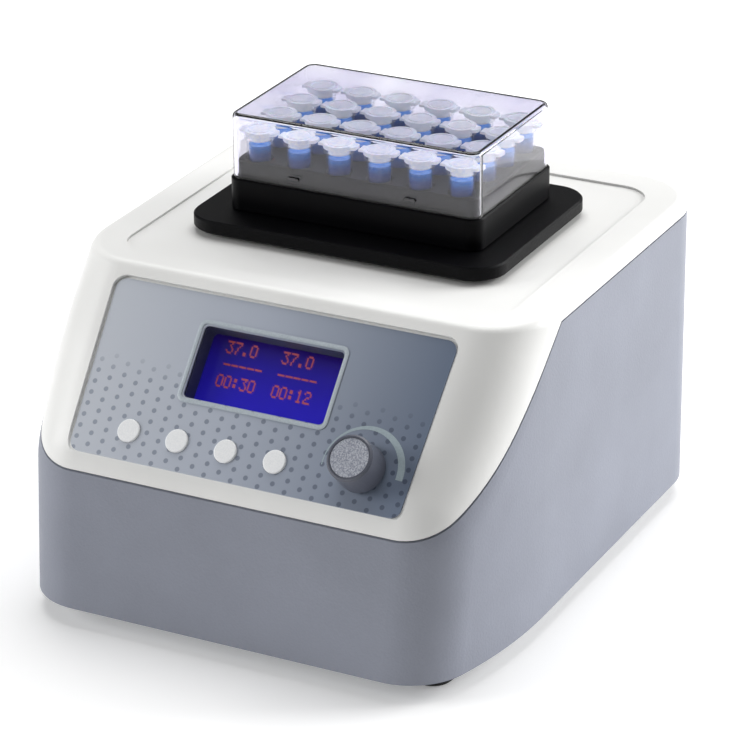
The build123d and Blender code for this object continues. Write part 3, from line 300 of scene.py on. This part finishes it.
def turned_metal(name, colour, roughness, groove_mm=0.4):
    """Metal, turned or ground: fine tool marks across its bright surface."""
    material, tree, shader = new_finish(name, linear(colour), roughness, Metallic=1.0)
    place = millimetres(tree)
    marks = add(tree, "TexWave", {"Vector": place, "Scale": 1 / (groove_mm * 6), "Distortion": 1.5,
                                  "Detail": 2.0}, bands_direction="Z")
    wear = add(tree, "TexNoise", {"Vector": place, "Scale": 1 / 4.0, "Detail": 2.0})
    tone = ramp(tree, wear, [(0.3, linear(colour)), (0.8, linear("e4e5e8"))])
    feed(tree, shader, {"Base Color": tone})
    bump(tree, shader, marks, 0.008)
    return material


def plain_moulding(name, colour, shade, roughness, grain_mm=0.5, depth_mm=0.02):
    """A moulded, cast or cut stuff with a fine grain: rubber, nylon, foam, ceramic, laminate or paint."""
    material, tree, shader = new_finish(name, linear(colour), roughness)
    place = millimetres(tree)
    grain = add(tree, "TexNoise", {"Vector": place, "Scale": 1 / grain_mm, "Detail": 3.0})
    tone = ramp(tree, grain, [(0.35, linear(shade)), (0.65, linear(colour))])
    feed(tree, shader, {"Base Color": tone})
    bump(tree, shader, grain, depth_mm)
    return material


def lit_display(name):
    """A liquid crystal display under glass, lit from below: deep blue, with painted shade from the recess's
    upper wall that makes it darker and redder at its top.
    """
    material, tree, shader = new_finish(name, linear("17109a"), 0.12, IOR=1.5)
    place = panel_millimetres(tree)
    parts = add(tree, "SeparateXYZ", {"Vector": place})
    height = parts.node.outputs["Y"]
    # painted shade: darkest at the display's top, fading out towards its bottom
    down = add(tree, "MapRange", {"Value": height, "From Min": 24.0, "From Max": -4.0})
    ground = ramp(tree, down, [(0.0, linear("1c0a52")), (0.35, linear("22188e")), (1.0, linear("241cae"))])
    lines = add(tree, "TexWave", {"Vector": place, "Scale": 1 / 2.8, "Distortion": 0.0},
                bands_direction="Y")
    soft = maths(tree, "MULTIPLY_ADD", lines, 0.06, 0.94)
    tone = add(tree, "VectorMath", {0: ground, 3: soft}, operation="SCALE")
    feed(tree, shader, {"Base Color": tone, "Emission Color": tone, "Emission Strength": 0.4})
    return material


def lit_segments(name):
    """The display's dots, switched on: a dull orange red against the blue."""
    material, tree, shader = new_finish(name, linear("8e3a48"), 0.5, Emission_Color=linear("c4503e"),
                                        Emission_Strength=0.3)
    speck = add(tree, "TexNoise", {"Vector": panel_millimetres(tree), "Scale": 1 / 2.0})
    tone = ramp(tree, speck, [(0.3, linear("8a3a50")), (0.7, linear("a8484a"))])
    feed(tree, shader, {"Base Color": tone})
    return material


def sprayed_knob(name):
    """ABS, moulded and sprayed with a soft-touch paint: a cool mid grey with a dry sheen."""
    return plain_moulding(name, "585b67", "4e515c", 0.34, 0.3, 0.01)


def pebbled_rubber(name):
    """Rubber, moulded with a coarse pebble grain about 0.6 mm across, with a painted highlight that makes
    its high spots paler.
    """
    material, tree, shader = new_finish(name, linear("8b8e97"), 0.6)
    place = millimetres(tree)
    pebble = add(tree, "TexNoise", {"Vector": place, "Scale": 1 / 0.6, "Detail": 2.0, "Roughness": 0.55})
    # painted highlight: paler where the grain stands highest
    tone = ramp(tree, pebble, [(0.36, linear("7f8391")), (0.52, linear("a0a4af")),
                               (0.66, linear("bdc0c9"))])
    feed(tree, shader, {"Base Color": tone})
    bump(tree, shader, pebble, 0.12)
    return material


class MixerPrint(bpy.types.PropertyGroup):
    """Inks and sizes of the printed panel film."""
    film_left: bpy.props.FloatVectorProperty(
        name="Film left", description="Ground colour at the left edge",
        default=linear("c2c7d0"), size=4, subtype="COLOR")
    film_middle: bpy.props.FloatVectorProperty(
        name="Film middle", description="Ground colour in the middle",
        default=linear("abb2c0"), size=4, subtype="COLOR")
    film_right: bpy.props.FloatVectorProperty(
        name="Film right", description="Ground colour at the right edge",
        default=linear("657287"), size=4, subtype="COLOR")
    dot_left: bpy.props.FloatVectorProperty(
        name="Dots left", description="Dot colour at the left edge",
        default=linear("8d95a4"), size=4, subtype="COLOR")
    dot_right: bpy.props.FloatVectorProperty(
        name="Dots right", description="Dot colour at the right edge",
        default=linear("424d62"), size=4, subtype="COLOR")
    dot_pitch_x: bpy.props.FloatProperty(
        name="Dot pitch across", description="Between dots of one row, mm", default=11.70, min=1)
    dot_pitch_y: bpy.props.FloatProperty(
        name="Dot pitch up", description="Between dots of one column, mm", default=4.63, min=1)
    dot_size: bpy.props.FloatProperty(
        name="Dot size", description="Diameter of a dot, mm", default=2.0, min=0.1)
    dot_x: bpy.props.FloatProperty(
        name="Dot start across", description="Place of one column, mm", default=-5.8)
    dot_y: bpy.props.FloatProperty(
        name="Dot start up", description="Place of one row, mm", default=4.25)
    dot_top: bpy.props.FloatProperty(
        name="Dot field top", description="Upper edge of the dots, mm", default=5.5)
    dot_blur: bpy.props.FloatProperty(
        name="Dot blur", description="Half the width of a dot's soft edge, mm", default=0.12, min=0.01)
    dot_fade: bpy.props.FloatProperty(
        name="Dot fade", description="Height over which the dots reach their full tone, mm", default=9.0)
    dot_ink: bpy.props.FloatProperty(
        name="Dot ink", description="Share of the dot colour at its fullest", default=0.85, min=0, max=1)
    ring_width: bpy.props.FloatProperty(
        name="Ring width", description="Outer width of the display ring, mm", default=65.6, min=62)
    ring_height: bpy.props.FloatProperty(
        name="Ring height", description="Outer height of the display ring, mm", default=34.4, min=31)
    ring_band: bpy.props.FloatProperty(
        name="Ring band", description="Width of the display ring's band, mm", default=1.7, min=0.2)
    arc_radius: bpy.props.FloatProperty(
        name="Arc radius", description="Outer radius of the knob's arc, mm", default=17.2, min=12)
    arc_band: bpy.props.FloatProperty(
        name="Arc band", description="Mean width of the knob's arc, mm", default=1.65)
    arc_taper: bpy.props.FloatProperty(
        name="Arc taper", description="How far its inner edge is set over, mm", default=1.25)


class MixerStudio(bpy.types.PropertyGroup):
    """Camera and surround."""
    azimuth: bpy.props.FloatProperty(
        name="Azimuth", description="Camera's turn to the right of the front",
        default=radians(27.156), subtype="ANGLE")
    elevation: bpy.props.FloatProperty(
        name="Elevation", description="Camera's height angle", default=radians(24.0505), subtype="ANGLE")
    roll: bpy.props.FloatProperty(
        name="Roll", description="Camera's tilt", default=radians(-0.5277), subtype="ANGLE")
    distance: bpy.props.FloatProperty(
        name="Distance", description="From the camera to its aim",
        default=1.46863, subtype="DISTANCE", unit="LENGTH")
    lens: bpy.props.FloatProperty(
        name="Lens", description="Focal length, mm", default=176.01, min=10)
    sensor: bpy.props.FloatProperty(
        name="Sensor", description="Width of the camera's sensor, mm", default=36.0, min=10)
    aim: bpy.props.FloatVectorProperty(
        name="Aim", description="Point in the middle of the frame",
        default=(0.00831, -0.00665, 0.08066), size=3, subtype="TRANSLATION")
    sky: bpy.props.FloatProperty(
        name="Sky", description="Strength of the even white surround", default=0.16)


def begin():
    """Leaves nothing selected."""
    if bpy.context.mode != "OBJECT":
        bpy.ops.object.mode_set(mode="OBJECT")
    bpy.ops.object.select_all(action="DESELECT")


def pick(piece, kind, wanted):
    """In edit mode, selects only the vertices or faces whose middle passes the test."""
    bpy.ops.object.mode_set(mode="OBJECT")
    mesh = piece.data
    for group in (mesh.polygons, mesh.edges, mesh.vertices):
        for item in group:
            item.select = False
    for item in getattr(mesh, kind):
        middle = item.co if kind == "vertices" else item.center
        item.select = bool(wanted(piece.matrix_world @ middle))
    bpy.ops.object.mode_set(mode="EDIT")
    bpy.ops.mesh.select_mode(type="VERT" if kind == "vertices" else "FACE")


def finish_piece(piece, name, body, material):
    """Names a piece, puts its place into its mesh, and lets it ride on its body."""
    begin()
    piece.select_set(True)
    bpy.context.view_layer.objects.active = piece
    bpy.ops.object.transform_apply(location=True, rotation=True, scale=True)
    bpy.ops.object.shade_smooth_by_angle(angle=radians(30))
    piece.name = name
    piece.data.name = name
    piece.data.materials.clear()
    piece.data.materials.append(material)
    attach(piece, body)


def thicken(piece, depth_mm, edge_mm, segments=2):
    """Gives a flat outline its thickness downwards and breaks its edges."""
    bpy.ops.object.mode_set(mode="OBJECT")
    solid = piece.modifiers.new("thickness", "SOLIDIFY")
    solid.thickness = depth_mm * MM
    solid.offset = -1.0
    bpy.ops.object.modifier_apply(modifier=solid.name)
    bevel = piece.modifiers.new("edge", "BEVEL")
    bevel.width = edge_mm * MM
    bevel.segments = segments
    bevel.limit_method = "ANGLE"
    bevel.angle_limit = radians(50)
    bpy.ops.object.modifier_apply(modifier=bevel.name)


def dress(material, *names):
    """Gives CAD nodes their finish."""
    for name in names:
        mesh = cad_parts[name].data
        mesh.materials.clear()
        mesh.materials.append(material)


class MIXER_OT_case(bpy.types.Operator):
    """Finishes the shells, the sheet steel, the feet and the screws"""
    bl_idname = "mixer.case"
    bl_label = "Case"

    def execute(self, context):
        dress(moulded_abs("White_moulded_ABS", "eeeeec", "e8e8e6", 0.4, 0.6, 0.018), "top_cover")
        dress(leather_grained_abs("Grey_leather_grained_ABS", "8a8e9b", "818591"), "base_shell")
        dress(zinc_plated_steel("Zinc_plated_sheet_steel"), "bottom_plate", "back_panel", "deck_pillars",
              "board_standoffs", "display_frame", "power_supply", "counterweight")
        dress(plain_moulding("Black_moulded_rubber", "1b1b1c", "111112", 0.8, 0.5, 0.05), "rubber_feet")
        dress(turned_metal("Turned_screw_steel", "a9abae", 0.32), "foot_screws", "case_screws",
              "platform_screws", "deck_screws", "front_board_screws")
        return {"FINISHED"}


class MIXER_OT_platform(bpy.types.Operator):
    """Finishes the platform, the tube block, the heating stack, the bearings, the shafts and the motor"""
    bl_idname = "mixer.platform"
    bl_label = "Platform"

    def execute(self, context):
        dress(black_anodised("Black_anodised_blasted_plate", 0.7, 0.12, 0.42), "platform_flange")
        dress(black_anodised("Black_anodised_fine_block", 0.5, 0.04, 0.36), "tube_block")
        dress(turned_metal("Milled_aluminium", "c6c8cb", 0.35, 0.8), "contact_plate", "heat_sink",
              "orbit_plate", "deck_plate")
        dress(plain_moulding("Fired_alumina_ceramic", "f0efe9", "e4e2da", 0.5, 0.4, 0.01),
              "peltier_modules")
        dress(plain_moulding("Closed_cell_foam", "232325", "161618", 0.95, 0.6, 0.12), "insulator_frame")
        dress(turned_metal("Ground_bearing_steel", "cfd1d4", 0.18, 0.3), "orbit_bearings", "deck_bearings")
        dress(turned_metal("Ground_shaft_steel", "bfc1c4", 0.22, 0.3), "crank_shaft", "encoder_shaft",
              "front_left_idler", "front_right_idler", "rear_left_idler", "rear_right_idler")
        dress(plain_moulding("Satin_black_motor_paint", "1f2023", "17181a", 0.45, 0.8, 0.02), "drive_motor")
        return {"FINISHED"}


class MIXER_OT_tubes(bpy.types.Operator):
    """Finishes the tubes, their liquid, their caps and the lid"""
    bl_idname = "mixer.tubes"
    bl_label = "Tubes and lid"

    def execute(self, context):
        dress(blown_polypropylene("Clear_moulded_polypropylene"), "tube_bodies")
        dress(dyed_water("Blue_dyed_water"), "tube_filling")
        dress(frosted_polypropylene("Frosted_moulded_polypropylene"), "tube_caps")
        dress(cast_acrylic("Clear_moulded_acrylic", "e6e4f2", 1.49, 1.0, 1.0), "clear_lid")
        dress(cast_acrylic("Clear_window_acrylic", "f4f5f8", 1.12, 0.04, 0.5), "display_window")
        return {"FINISHED"}


class MIXER_OT_panel(bpy.types.Operator):
    """Finishes the film, the display, the keys, the knob, the boards and the mains pieces"""
    bl_idname = "mixer.panel"
    bl_label = "Control panel"

    def execute(self, context):
        dress(printed_polyester("Printed_polyester_film"), "control_overlay")
        dress(plain_moulding("Dark_moulded_nylon", "54586a", "4a4e60", 0.5), "display_bezel")
        dress(plain_moulding("Black_moulded_nylon", "232529", "1a1b1f", 0.5), "key_switches",
              "encoder_body", "encoder_plunger", "mains_inlet", "fuse_drawer", "switch_housing",
              "switch_rocker", "fan_frame", "fan_rotor", "board_components")
        dress(lit_display("Lit_display_glass"), "display_glass")
        dress(plain_moulding("Green_glass_laminate", "1d6a3a", "17552e", 0.4, 1.5, 0.01), "front_board",
              "main_board")
        dress(plain_moulding("White_moulded_silicone", "f4f5f6", "eceef0", 0.35, 0.6, 0.01), "program_key",
              "temperature_key", "time_key", "speed_key")
        dress(sprayed_knob("Soft_painted_ABS"), "control_knob")
        dress(pebbled_rubber("Pebble_grained_rubber"), "knob_insert")
        dress(turned_metal("Plated_brass", "d8b45c", 0.25), "inlet_pins")
        dress(turned_metal("Nickel_plated_steel", "c9cacd", 0.3), "data_port")
        return {"FINISHED"}


class MIXER_OT_display_ring(bpy.types.Operator):
    """Models the raised ring round the display window"""
    bl_idname = "mixer.display_ring"
    bl_label = "Display ring"

    def execute(self, context):
        look = context.scene.mixer_print
        begin()
        middle = on_panel(*RING_MIDDLE, 0.35)
        bpy.ops.mesh.primitive_plane_add(size=1, location=middle, rotation=(SLOPE, 0, 0))
        ring = context.active_object
        ring.scale = (look.ring_width * MM, look.ring_height * MM, 1)
        bpy.ops.object.transform_apply(location=False, rotation=False, scale=True)
        bpy.ops.object.mode_set(mode="EDIT")
        bpy.ops.mesh.select_all(action="SELECT")
        bpy.ops.mesh.bevel(offset=3.4 * MM, segments=8, affect="VERTICES")
        bpy.ops.mesh.select_all(action="SELECT")
        bpy.ops.mesh.inset(thickness=look.ring_band * MM)
        bpy.ops.mesh.delete(type="FACE")
        thicken(ring, 0.33, 0.14)
        material = plain_moulding("Pale_moulded_ring", "b9c2c9", "aab4bc", 0.3, 0.5, 0.01)
        finish_piece(ring, "display_ring", "case", material)
        return {"FINISHED"}


class MIXER_OT_knob_arc(bpy.types.Operator):
    """Models the printed arc that swells round the knob"""
    bl_idname = "mixer.knob_arc"
    bl_label = "Knob arc"

    def execute(self, context):
        look = context.scene.mixer_print
        begin()
        low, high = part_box("control_knob")
        knob_x = (low.x + high.x) / 2 / MM
        middle = on_panel(knob_x, KNOB_UP_SLOPE, 0.06)
        bpy.ops.mesh.primitive_circle_add(vertices=144, radius=look.arc_radius * MM, fill_type="NGON",
                                          location=middle, rotation=(SLOPE, 0, 0))
        arc = context.active_object
        bpy.ops.object.mode_set(mode="EDIT")
        bpy.ops.mesh.select_all(action="SELECT")
        bpy.ops.mesh.inset(thickness=look.arc_band * MM)
        bpy.ops.mesh.delete(type="ONLY_FACE")
        inner = (look.arc_radius - look.arc_band / 2) * MM
        pick(arc, "vertices", lambda place: (place - middle).length < inner)
        bpy.ops.transform.translate(value=(-look.arc_taper * MM, 0, 0))
        lowest = on_panel(knob_x, ARC_END_UP_SLOPE).z
        pick(arc, "polygons", lambda place: place.z < lowest)
        bpy.ops.mesh.delete(type="FACE")
        thicken(arc, 0.05, 0.015, 1)
        material = plain_moulding("Pale_screen_ink", "a7b6bc", "9eadb4", 0.4, 0.6, 0.004)
        finish_piece(arc, "knob_arc", "case", material)
        return {"FINISHED"}


GLYPHS = {
    "0": ("01110", "10001", "10001", "10001", "10001", "10001", "01110"),
    "1": ("00100", "01100", "00100", "00100", "00100", "00100", "01110"),
    "2": ("01110", "10001", "00001", "00110", "01000", "10000", "11111"),
    "3": ("11111", "00010", "00100", "00010", "00001", "10001", "01110"),
    "7": ("11111", "00001", "00010", "00100", "00100", "01000", "01000"),
    ".": ("00000", "00000", "00000", "00000", "00000", "01100", "01100"),
    ":": ("00000", "01100", "01100", "00000", "01100", "01100", "00000"),
    "-": ("00000", "00000", "00000", "11111", "00000", "00000", "00000"),
}
# What the display shows: the text, then the panel place of its first digit's middle, in mm.
SHOWN_LINES = (
    ("37.0", -22.8, 19.3),
    ("37.0", 1.8, 19.3),
    ("-----", -21.9, 12.2),
    ("-----", 2.1, 12.2),
    ("00:30", -22.8, 5.3),
    ("00:12", 1.8, 5.3),
)


class MIXER_OT_digits(bpy.types.Operator):
    """Models the plain numbers that the display shows, dot by dot"""
    bl_idname = "mixer.digits"
    bl_label = "Display digits"

    char_pitch: bpy.props.FloatProperty(
        name="Character pitch", description="From digit to digit, mm", default=3.5)
    char_width: bpy.props.FloatProperty(
        name="Character width", description="Width of a digit, mm", default=3.0)
    char_height: bpy.props.FloatProperty(
        name="Character height", description="Height of a digit, mm", default=5.2)

    def glyph(self, context, text, x, y, lift):
        """One digit: a grid of five by seven dots with the dark ones cut away."""
        begin()
        middle = on_panel(x, y, lift)
        bpy.ops.mesh.primitive_grid_add(x_subdivisions=5, y_subdivisions=7, size=1, location=middle,
                                        rotation=(SLOPE, 0, 0))
        digit = context.active_object
        digit.scale = (self.char_width * MM, self.char_height * MM, 1)
        rows = GLYPHS[text]
        bpy.ops.object.mode_set(mode="EDIT")
        bpy.ops.object.mode_set(mode="OBJECT")
        for face in digit.data.polygons:
            column = int((face.center.x + 0.5) * 5)
            row = int((0.5 - face.center.y) * 7)
            face.select = rows[row][column] == "0"
        bpy.ops.object.mode_set(mode="EDIT")
        bpy.ops.mesh.select_mode(type="FACE")
        bpy.ops.mesh.delete(type="FACE")
        bpy.ops.object.mode_set(mode="OBJECT")
        return digit

    def execute(self, context):
        low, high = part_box("display_glass")
        glass = (low + high) / 2
        half_glass = 0.6
        above_glass = 0.06
        lift = (glass - FILM_FACE).dot(PANEL_NORMAL) / MM + half_glass + above_glass
        digits = []
        for text, x, y in SHOWN_LINES:
            for index, letter in enumerate(text):
                digits.append(self.glyph(context, letter, x + index * self.char_pitch, y, lift))
        begin()
        for digit in digits:
            digit.select_set(True)
        context.view_layer.objects.active = digits[0]
        bpy.ops.object.join()
        piece = context.active_object
        thicken(piece, 0.04, 0.005, 1)
        finish_piece(piece, "display_digits", "case", lit_segments("Lit_display_dots"))
        return {"FINISHED"}


# Soft boxes: the name, the place and the size in metres, and the power in watts.
SOFT_BOXES = (
    ("Overhead_box", (-0.2, 0.6, 1.7), (1.5, 1.5), 26.5),
    ("Left_box", (-1.6, -1.0, 0.75), (0.9, 1.1), 20.0),
    ("Right_box", (1.4, 1.3, 0.75), (1.1, 1.2), 46.0),
)


class MIXER_OT_studio(bpy.types.Operator):
    """Lays the pale floor, sets the soft lights and places the camera"""
    bl_idname = "mixer.studio"
    bl_label = "Studio"

    def light(self, context, name, place, size, power):
        """One soft box that faces the object."""
        begin()
        aim = Vector(context.scene.mixer_studio.aim)
        turn = (aim - Vector(place)).to_track_quat("-Z", "Y").to_euler()
        bpy.ops.object.light_add(type="AREA", location=place, rotation=turn)
        lamp = context.active_object
        lamp.name = name
        lamp.data.shape = "RECTANGLE"
        lamp.data.size, lamp.data.size_y = size
        lamp.data.energy = power

    def execute(self, context):
        scene = context.scene
        studio = scene.mixer_studio
        world = bpy.data.worlds.new("Studio_surround")
        world.use_nodes = True
        sky = world.node_tree.nodes["Background"]
        sky.inputs["Color"].default_value = (1, 1, 1, 1)
        sky.inputs["Strength"].default_value = studio.sky
        scene.world = world
        scene.view_settings.view_transform = "Standard"
        begin()
        bpy.ops.mesh.primitive_plane_add(size=8.5, location=(-3.5, 3.65, 0))
        floor = context.active_object
        floor.name = "studio_floor"
        material, tree, shader = new_finish("Pale_studio_floor", linear("f6f6f6"), 0.9,
                                            Emission_Color=linear("ffffff"), Emission_Strength=0.2)
        cloud = add(tree, "TexNoise", {"Vector": millimetres(tree), "Scale": 1 / 900})
        tone = ramp(tree, cloud, [(0.3, linear("f4f4f4")), (0.7, linear("f8f8f8"))])
        feed(tree, shader, {"Base Color": tone})
        floor.data.materials.append(material)
        for name, place, size, power in SOFT_BOXES:
            self.light(context, name, place, size, power)
        turned = studio.azimuth
        raised = studio.elevation
        back = Vector((sin(turned) * cos(raised), -cos(turned) * cos(raised), sin(raised)))
        right = (-back).cross(Vector((0, 0, 1))).normalized()
        up = right.cross(-back)
        level_right = right * cos(studio.roll) + up * sin(studio.roll)
        level_up = up * cos(studio.roll) - right * sin(studio.roll)
        turn = Matrix((level_right, level_up, back)).transposed()
        begin()
        place = Vector(studio.aim) + back * studio.distance
        bpy.ops.object.camera_add(location=place, rotation=turn.to_euler())
        camera = context.active_object
        camera.name = "Studio_camera"
        camera.data.lens = studio.lens
        camera.data.sensor_width = studio.sensor
        camera.data.sensor_fit = "HORIZONTAL"
        camera.data.clip_end = 20.0
        scene.camera = camera
        return {"FINISHED"}


OPERATORS = (MIXER_OT_case, MIXER_OT_platform, MIXER_OT_tubes, MIXER_OT_panel, MIXER_OT_display_ring,
             MIXER_OT_knob_arc, MIXER_OT_digits, MIXER_OT_studio)


class MIXER_PT_panel(bpy.types.Panel):
    """Lists the mixer's operators in the sidebar"""
    bl_idname = "MIXER_PT_panel"
    bl_label = "Thermal mixer"
    bl_space_type = "VIEW_3D"
    bl_region_type = "UI"
    bl_category = "Mixer"

    def draw(self, context):
        for operator in OPERATORS:
            self.layout.operator(operator.bl_idname)


CLASSES = (MixerPrint, MixerStudio) + OPERATORS + (MIXER_PT_panel,)


def register():
    """Registers the classes and hangs the settings on the scene."""
    for item in CLASSES:
        bpy.utils.register_class(item)
    bpy.types.Scene.mixer_print = bpy.props.PointerProperty(type=MixerPrint)
    bpy.types.Scene.mixer_studio = bpy.props.PointerProperty(type=MixerStudio)


def unregister():
    """Takes the settings off the scene and forgets the classes."""
    del bpy.types.Scene.mixer_studio
    del bpy.types.Scene.mixer_print
    for item in reversed(CLASSES):
        bpy.utils.unregister_class(item)


def main():
    """Makes every piece in order."""
    register()
    for operator in OPERATORS:
        group, name = operator.bl_idname.split(".")
        getattr(getattr(bpy.ops, group), name)()


if __name__ == "__main__":
    main()
